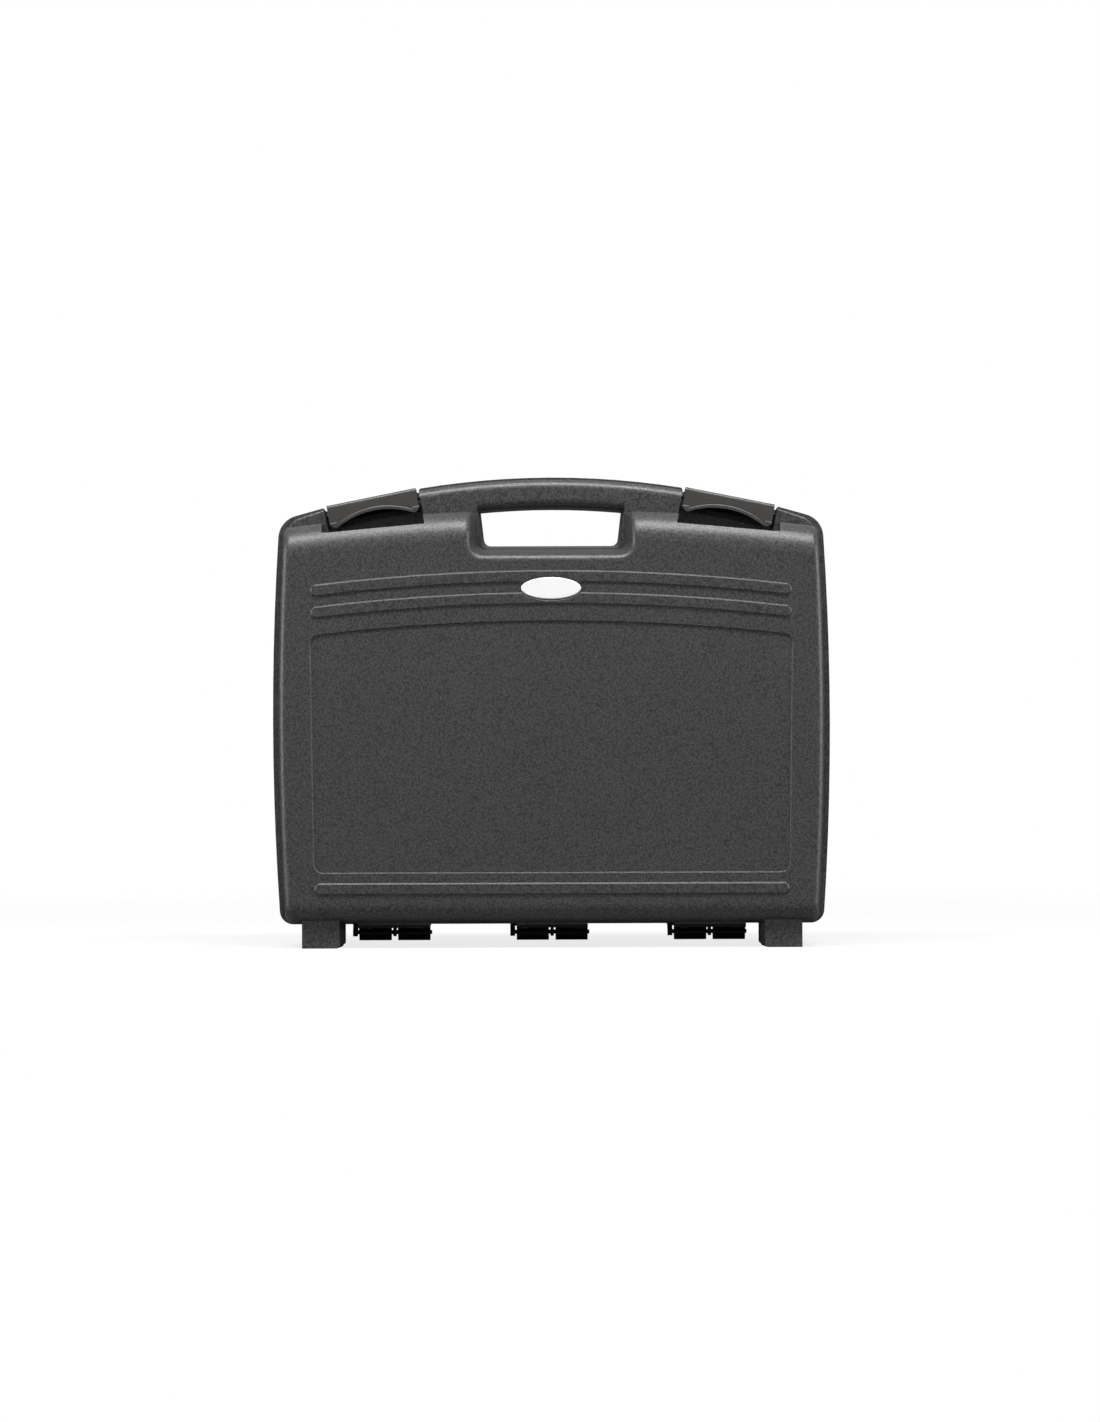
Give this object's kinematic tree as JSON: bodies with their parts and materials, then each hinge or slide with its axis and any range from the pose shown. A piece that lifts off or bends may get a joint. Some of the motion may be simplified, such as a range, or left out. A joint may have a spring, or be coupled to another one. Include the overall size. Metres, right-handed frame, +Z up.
{
  "type": "plastic carrying case",
  "caption": "Slim moulded carrying case in two half shells, hinged along the bottom, with a moulded-in grip and lift-up latches on top.",
  "frame": {"origin": "on the floor under the middle of the parting plane, at the bottom of the feet", "axes": "+X to the right seen from the front, the lid faces -Y, +Z up towards the grip"},
  "size_m": [0.4492, 0.1144, 0.3774],
  "materials": {
    "shell": "dark grey polypropylene with a fine moulded grain",
    "latch": "smooth dark grey plastic, satin",
    "hinge": "black plastic, satin",
    "hinge_pin": "black plastic rod",
    "pin": "bright drawn steel",
    "rivet": "black plastic rivet",
    "badge": "bare white gloss oval"
  },
  "bodies": {
    "rear_case": {"rear_shell": "shell", "rear_hinge_rivets": "rivet", "latch_pin_left": "pin", "latch_pin_right": "pin", "rear_leaf_left": "hinge", "rear_leaf_middle": "hinge", "rear_leaf_right": "hinge", "hinge_pin_left": "hinge_pin", "hinge_pin_middle": "hinge_pin", "hinge_pin_right": "hinge_pin"},
    "lid": {"front_shell": "shell", "badge": "badge", "front_hinge_rivets": "rivet", "front_leaf_left": "hinge", "front_leaf_middle": "hinge", "front_leaf_right": "hinge"},
    "left_latch": {"latch_left": "latch"},
    "right_latch": {"latch_right": "latch"}
  },
  "joints": [
    {"name": "lid_hinge", "type": "hinge", "parent": "rear_case", "child": "lid", "pos_m": [0, 0, 0.0109], "axis": [1, 0, 0], "range_deg": [0, 105]},
    {"name": "left_latch_pivot", "type": "hinge", "parent": "rear_case", "child": "left_latch", "pos_m": [-0.14328, 0.0118, 0.35484], "axis": [-0.9806, 0, -0.1959], "range_deg": [0, 95]},
    {"name": "right_latch_pivot", "type": "hinge", "parent": "rear_case", "child": "right_latch", "pos_m": [0.14328, 0.0118, 0.35484], "axis": [-0.9806, 0, 0.1959], "range_deg": [0, 95]}
  ]
}
